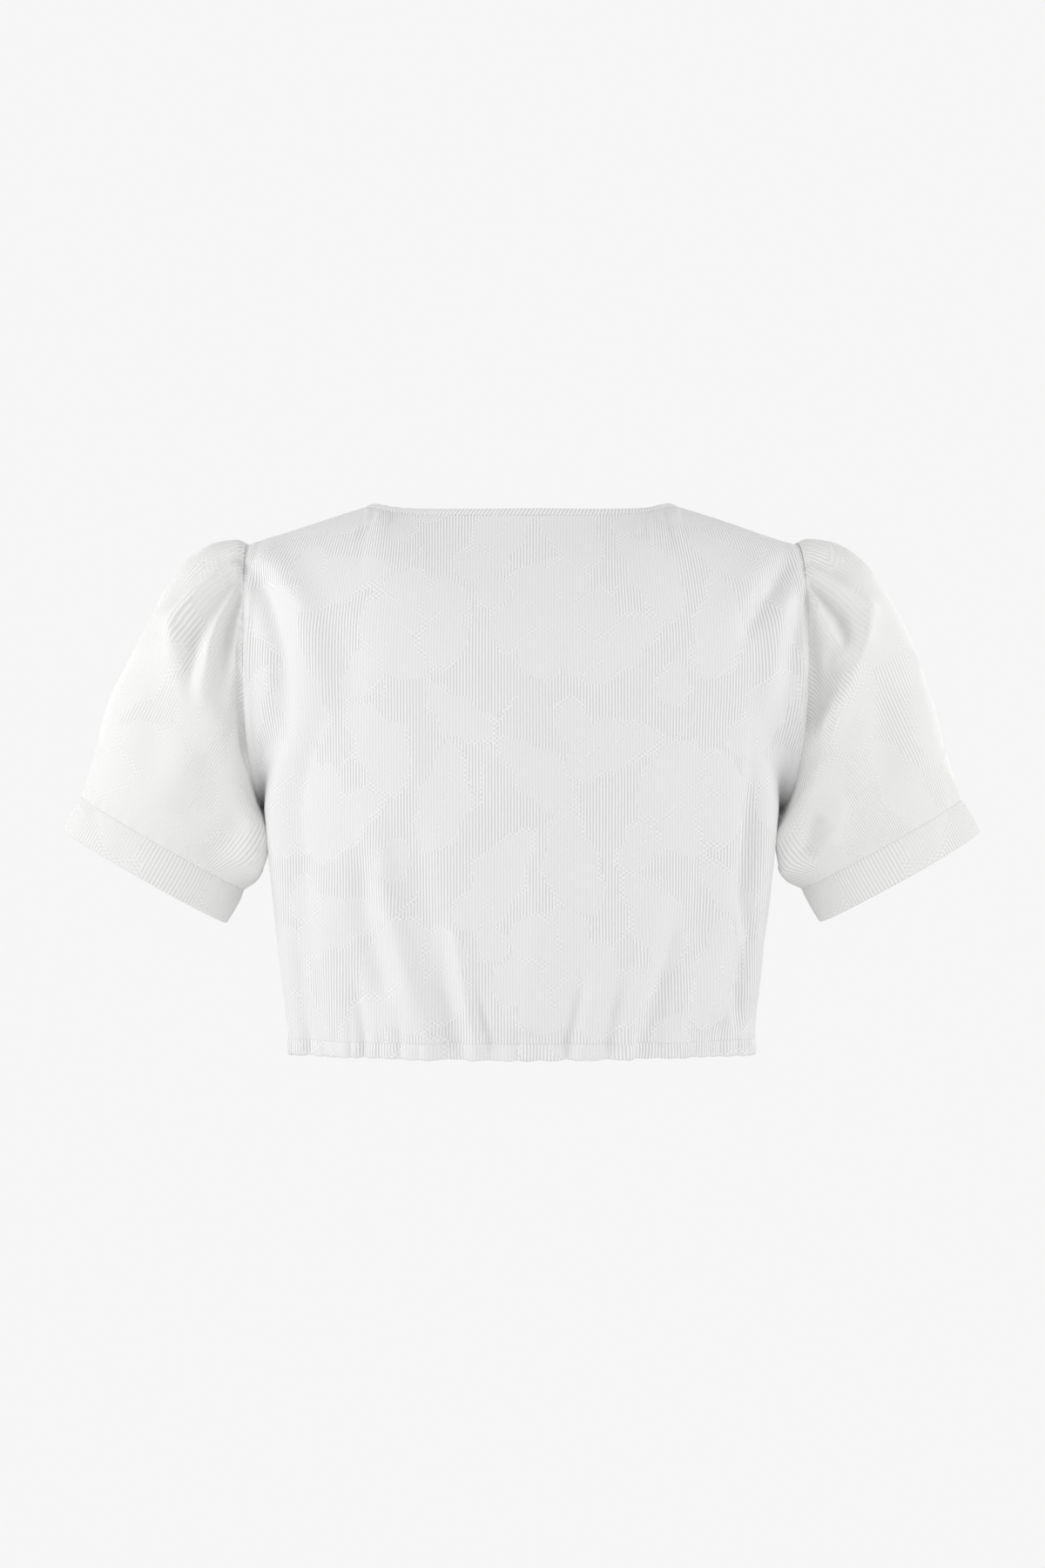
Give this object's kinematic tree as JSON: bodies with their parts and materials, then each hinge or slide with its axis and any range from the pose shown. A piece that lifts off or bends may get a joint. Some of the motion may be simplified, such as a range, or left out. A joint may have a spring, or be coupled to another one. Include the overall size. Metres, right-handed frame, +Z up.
{
  "type": "jacquard blouse",
  "caption": "Cropped blouse in worn shape: bias-bound wide neck, short puff sleeves gathered at the head with straight cuffs, and an elastic-gathered hem, in ribbed floral jacquard.",
  "frame": {"origin": "midway between the two shoulder neck points, where the wearer's shoulders hold the blouse up", "axes": "+Z up, +Y to the wearer's front, +X to the wearer's right; the back faces -Y"},
  "size_m": [0.6664, 0.2363, 0.3954],
  "materials": {
    "jacquard": "matt ribbed ground with satin motifs",
    "bias_binding": "matt, ribs on the bias"
  },
  "bodies": {
    "root": {"back": "jacquard", "front": "jacquard", "sleeve_left": "jacquard", "sleeve_right": "jacquard", "cuff_left": "jacquard", "cuff_right": "jacquard", "neck_binding": "bias_binding", "hem_casing": "jacquard"}
  },
  "joints": []
}
